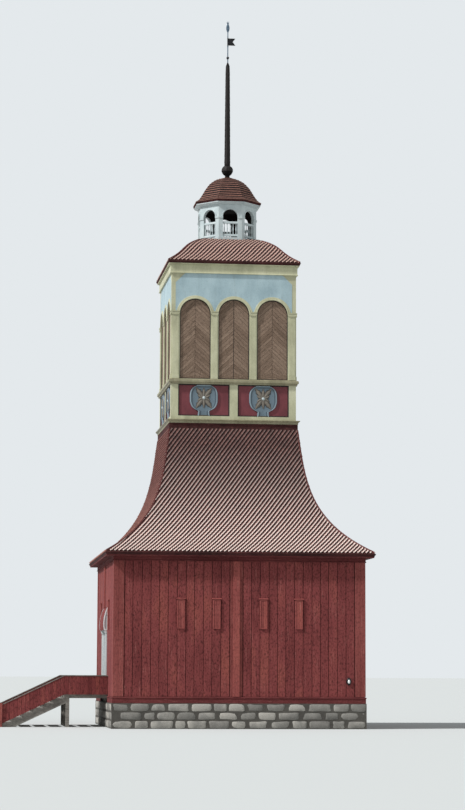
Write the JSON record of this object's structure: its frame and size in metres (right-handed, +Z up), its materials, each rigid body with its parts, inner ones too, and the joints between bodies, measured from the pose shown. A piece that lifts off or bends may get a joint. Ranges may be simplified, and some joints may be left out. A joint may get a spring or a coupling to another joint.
{
  "type": "wooden bell tower",
  "caption": "Wooden bell tower with a boarded base, concave shingled skirt roof, shuttered belfry, open lantern, mast, turning weather vane and opening entrance doors.",
  "frame": {"origin": "on the tower's axis at ground level, in the plane of the foundation's underside", "axes": "+Z up, +Y away from the main front, +X to the right of the main front; the entrance and its stair are on the -X side"},
  "size_m": [11.865, 8.666, 24.11],
  "materials": {
    "bare_planks": "grey weathered planks",
    "black_iron": "forged iron, painted black",
    "blue_grey_paint": "oil paint on planed boards",
    "brown_shutters": "brown painted boards",
    "cartouche_paint": "oil paint on carved boards",
    "cream_paint": "oil paint on planed mouldings",
    "dark_shingles": "tarred wooden shingles",
    "foundation_stone": "rough split granite",
    "grey_iron": "painted iron rod",
    "panel_red_paint": "oil paint on boards",
    "red_boards": "matt red distemper paint on sawn boards",
    "red_shingles": "weathered tarred and red painted wooden shingles",
    "white_paint": "white oil paint on planed wood"
  },
  "bodies": {
    "root": {"back_wall": "red_boards", "belfry_cornice": "cream_paint", "belfry_floor": "bare_planks", "belfry_frieze": "cream_paint", "belfry_ledge": "cream_paint", "belfry_panels": "panel_red_paint", "belfry_shutters": "brown_shutters", "belfry_wall_back": "cream_paint", "belfry_wall_front": "cream_paint", "belfry_wall_left": "cream_paint", "belfry_wall_right": "cream_paint", "corner_boards": "red_boards", "door_hood": "white_paint", "door_jambs": "white_paint", "door_lintel": "white_paint", "door_pilasters": "white_paint", "door_pintles": "black_iron", "door_sill": "bare_planks", "eave_frieze": "red_boards", "floor_joists": "bare_planks", "foundation": "foundation_stone", "front_wall": "red_boards", "ground_floor": "bare_planks", "landing_deck": "bare_planks", "landing_frame": "bare_planks", "lantern_arch_heads": "white_paint", "lantern_cornice": "white_paint", "lantern_curb": "white_paint", "lantern_dome": "red_shingles", "lantern_posts": "white_paint", "lantern_rails": "white_paint", "left_wall_far": "red_boards", "left_wall_near": "red_boards", "left_wall_over_door": "red_boards", "mid_boards": "red_boards", "panel_cartouches": "cartouche_paint", "parapet_caps": "bare_planks", "right_wall": "red_boards", "sill_band": "red_boards", "skirt_roof_back": "red_shingles", "skirt_roof_front": "red_shingles", "skirt_roof_left": "red_shingles", "skirt_roof_right": "red_shingles", "skirt_top_band": "red_shingles", "slit_hatches": "red_boards", "spire_ball": "dark_shingles", "spire_mast": "dark_shingles", "stair_parapets": "red_boards", "stair_stringers": "bare_planks", "stair_treads": "bare_planks", "upper_roof": "red_shingles", "vane_rod": "grey_iron"},
    "leaf_near": {"door_leaf_near": "blue_grey_paint", "door_straps_near": "black_iron"},
    "leaf_far": {"door_leaf_far": "blue_grey_paint", "door_straps_far": "black_iron"},
    "vane": {"weather_vane": "black_iron"}
  },
  "joints": [
    {"name": "near_door_hinge", "type": "hinge", "parent": "root", "child": "leaf_near", "pos_m": [-3.734, -0.786, 2], "axis": [0, 0, -1], "range_deg": [0, 100]},
    {"name": "far_door_hinge", "type": "hinge", "parent": "root", "child": "leaf_far", "pos_m": [-3.734, 0.786, 2], "axis": [0, 0, 1], "range_deg": [0, 100]},
    {"name": "vane_turn", "type": "hinge", "parent": "root", "child": "vane", "pos_m": [0, 0, 23.371], "axis": [0, 0, 1], "continuous": true}
  ]
}
